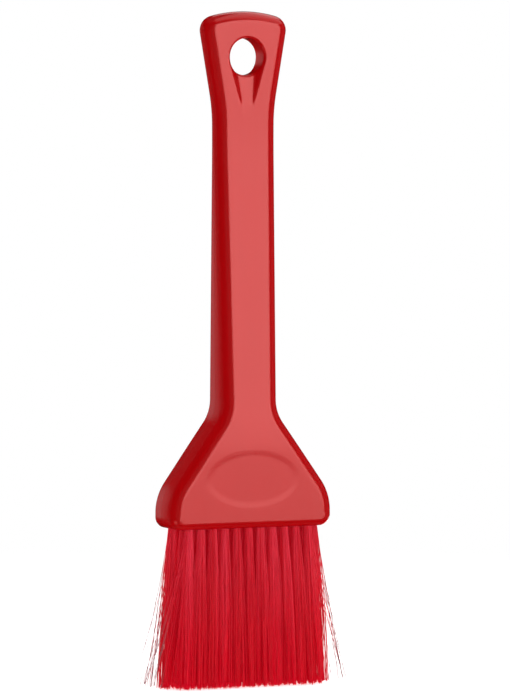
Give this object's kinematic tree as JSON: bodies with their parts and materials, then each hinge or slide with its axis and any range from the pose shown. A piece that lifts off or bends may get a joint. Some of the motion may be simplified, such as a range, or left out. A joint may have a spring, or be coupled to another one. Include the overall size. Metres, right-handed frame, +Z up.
{
  "type": "pastry brush",
  "caption": "Flat moulded pastry brush with a slim one-piece handle, a hang hole and three rows of soft bristle tufts",
  "frame": {"origin": "centre of the hang hole, half way through the handle's thickness", "axes": "+Z up along the handle, away from the bristles, as the brush hangs; +X across the brush's width; -Y out of the front face"},
  "size_m": [0.056, 0.0158, 0.2051],
  "materials": {
    "handle_plastic": "satin moulded",
    "filament": "fine drawn filament"
  },
  "bodies": {
    "handle": {"handle": "handle_plastic"},
    "bristles": {"tuft_front_01": "filament", "tuft_front_02": "filament", "tuft_front_03": "filament", "tuft_front_04": "filament", "tuft_front_05": "filament", "tuft_front_06": "filament", "tuft_front_07": "filament", "tuft_front_08": "filament", "tuft_front_09": "filament", "tuft_front_10": "filament", "tuft_front_11": "filament", "tuft_middle_01": "filament", "tuft_middle_02": "filament", "tuft_middle_03": "filament", "tuft_middle_04": "filament", "tuft_middle_05": "filament", "tuft_middle_06": "filament", "tuft_middle_07": "filament", "tuft_middle_08": "filament", "tuft_middle_09": "filament", "tuft_middle_10": "filament", "tuft_middle_11": "filament", "tuft_middle_12": "filament", "tuft_middle_13": "filament", "tuft_back_01": "filament", "tuft_back_02": "filament", "tuft_back_03": "filament", "tuft_back_04": "filament", "tuft_back_05": "filament", "tuft_back_06": "filament", "tuft_back_07": "filament", "tuft_back_08": "filament", "tuft_back_09": "filament", "tuft_back_10": "filament", "tuft_back_11": "filament"}
  },
  "joints": [
    {"name": "bristle_flex", "type": "hinge", "parent": "handle", "child": "bristles", "pos_m": [0, 0, -0.15031], "axis": [1, 0, 0], "range_deg": [-40, 40], "stiffness_Nm_per_rad": 0.02, "deforming": ["tuft_front_01", "tuft_front_02", "tuft_front_03", "tuft_front_04", "tuft_front_05", "tuft_front_06", "tuft_front_07", "tuft_front_08", "tuft_front_09", "tuft_front_10", "tuft_front_11", "tuft_middle_01", "tuft_middle_02", "tuft_middle_03", "tuft_middle_04", "tuft_middle_05", "tuft_middle_06", "tuft_middle_07", "tuft_middle_08", "tuft_middle_09", "tuft_middle_10", "tuft_middle_11", "tuft_middle_12", "tuft_middle_13", "tuft_back_01", "tuft_back_02", "tuft_back_03", "tuft_back_04", "tuft_back_05", "tuft_back_06", "tuft_back_07", "tuft_back_08", "tuft_back_09", "tuft_back_10", "tuft_back_11"]}
  ]
}
